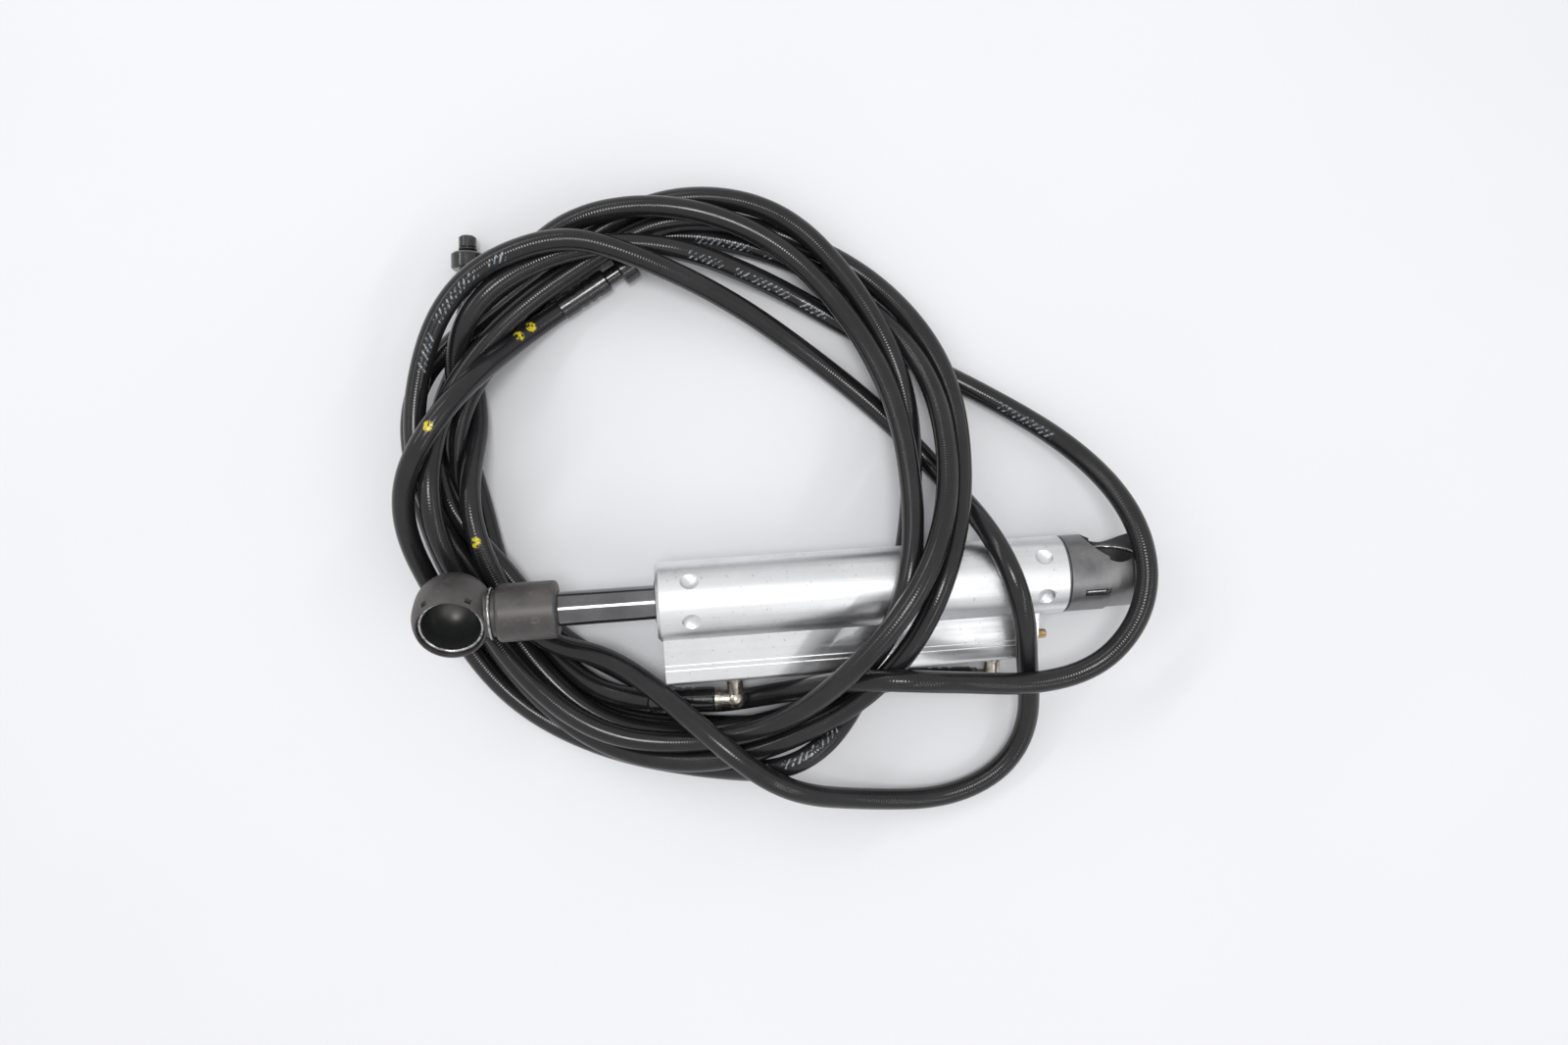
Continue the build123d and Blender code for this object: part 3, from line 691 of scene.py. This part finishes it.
RIB_PITCH = 0.85 * MM


def hose_rubber(name, length, prints, dabs):
    """A black thermoplastic hose: the winding of its braid shows through as fine ribs, which break up the
    highlight. prints are (start, end) stretches in metres from the hose's start, and dabs are places that are
    marked with paint."""
    f = Finish(name, (0.013, 0.013, 0.014), 0.0, 0.3, coords="UV")
    parts = f.add("ShaderNodeSeparateXYZ", {"Vector": f.coords})
    along = f.maths("MULTIPLY", parts.outputs["X"], length)
    around = parts.outputs["Y"]
    solid = f.add("ShaderNodeTexCoord").outputs["Object"]
    wave = f.maths("SINE", f.maths("MULTIPLY", along, 2 * math.pi / RIB_PITCH))
    swell = f.spread(f.noise(22, 3, 0.5, solid), 0.38, 0.62, 0.1, 1.0)
    ribs = f.maths("MULTIPLY", wave, swell)
    scuffs = f.noise(260, 5, 0.65, solid)
    dust = f.spread(f.noise(60, 4, 0.6, solid), 0.45, 0.75)
    tone = f.mix(f.maths("MULTIPLY", dust, 0.6), (0.012, 0.0117, 0.0130), (0.026, 0.0255, 0.0280))
    marks = print_marks(f, along, around, prints)
    tone = f.mix(f.maths("MULTIPLY", marks, 0.65), tone, (0.44, 0.50, 0.54))
    paint = paint_dabs(f, solid, dabs)
    f.set("Base Color", f.mix(paint, tone, (0.62, 0.50, 0.02)))
    f.set("Roughness", f.spread(scuffs, 0.3, 0.7, 0.13, 0.25))
    height = f.maths("ADD", f.maths("MULTIPLY", ribs, 0.5), f.maths("MULTIPLY", scuffs, 0.12))
    f.set("Normal", f.bump(height, 0.05 * MM, 0.7))
    f.set("Specular IOR Level", 0.43)
    return f.material


def top_at(line, wanted):
    """The places on top of a hose at the wanted distances from its start."""
    return [(x, y, z + HOSE_R) for x, y, z in places_along(line, wanted)]


FINISHES = {
    "barrel_aluminium": barrel_aluminium(),
    "inner_aluminium": inner_aluminium(),
    "dark_steel": dark_steel(),
    "socket_steel": socket_steel(),
    "rod_chrome": rod_chrome(),
    "spring_wire": spring_wire(),
    "nickel_steel": nickel_steel(),
    "plug_brass": plug_brass(),
    "ferrule_black": ferrule_black(),
    "seal_rubber": seal_rubber(),
    "guide_plastic": guide_plastic(),
}


def finish_nodes():
    """Every CAD node takes the finish of its own slot."""
    for obj in nodes.values():
        for place in obj.material_slots:
            slot = place.material.name.split(".")[0]
            if slot in FINISHES:
                place.material = FINISHES[slot]
            elif not obj.hide_render:
                raise KeyError(f"{obj.name} has a material {slot} with no finish")


finish_nodes()
hose_a.data.materials.append(hose_rubber(
    "hose_rubber_a", hose_a_length,
    prints=[(0.215, 0.262), (0.32, 0.345), (1.180, 1.225)],
    dabs=top_at(hose_a_line, [1.684]),
))
hose_b.data.materials.append(hose_rubber(
    "hose_rubber_b", hose_b_length,
    prints=[(0.30, 0.325), (1.515, 1.545)],
    dabs=top_at(hose_b_line, [hose_b_length - from_end for from_end in (0.0575, 0.0155, 0.0105)]),
))


# ---------------------------------------------------------------- floor and light

FLOOR_SIZE = 8.0
SCENE_MIDDLE = (0, 0.03, 0)
WORLD_LIGHT = 0.75


def add_floor():
    """A square of plain pale paper."""
    half = FLOOR_SIZE / 2
    corners = [(-half, -half, 0), (half, -half, 0), (half, half, 0), (-half, half, 0)]
    mesh = bpy.data.meshes.new("floor")
    mesh.from_pydata(corners, [], [(0, 1, 2, 3)])
    obj = bpy.data.objects.new("floor", mesh)
    bpy.context.scene.collection.objects.link(obj)
    f = Finish("floor_paper", (0.86, 0.865, 0.88), 0.0, 0.6)
    tone = f.spread(f.noise(9, 3, 0.5), 0.3, 0.7)
    f.set("Base Color", f.mix(tone, (0.790, 0.795, 0.818), (0.776, 0.780, 0.803)))
    mesh.materials.append(f.material)


def area_light(name, place, width, depth, power):
    """A rectangular light that faces the middle of the scene."""
    data = bpy.data.lights.new(name, "AREA")
    data.shape = "RECTANGLE"
    data.size = width
    data.size_y = depth
    data.energy = power
    obj = bpy.data.objects.new(name, data)
    obj.location = place
    obj.rotation_euler = (Vector(SCENE_MIDDLE) - Vector(place)).to_track_quat("-Z", "Y").to_euler()
    bpy.context.scene.collection.objects.link(obj)


def add_light():
    """Even light all round, a small lamp overhead for thin highlights on the hoses, and a strip each side."""
    world = bpy.data.worlds.new("world")
    world.use_nodes = True
    background = world.node_tree.nodes["Background"]
    background.inputs["Color"].default_value = (1, 1, 1, 1)
    background.inputs["Strength"].default_value = WORLD_LIGHT
    bpy.context.scene.world = world
    area_light("overhead", (0, 0.06, 1.0), 0.24, 0.24, 2.9)
    area_light("strip_left", (-0.55, 0.55, 0.75), 1.0, 0.035, 1.6)
    area_light("strip_right", (0.60, -0.40, 0.80), 0.9, 0.03, 1.2)


add_floor()
add_light()
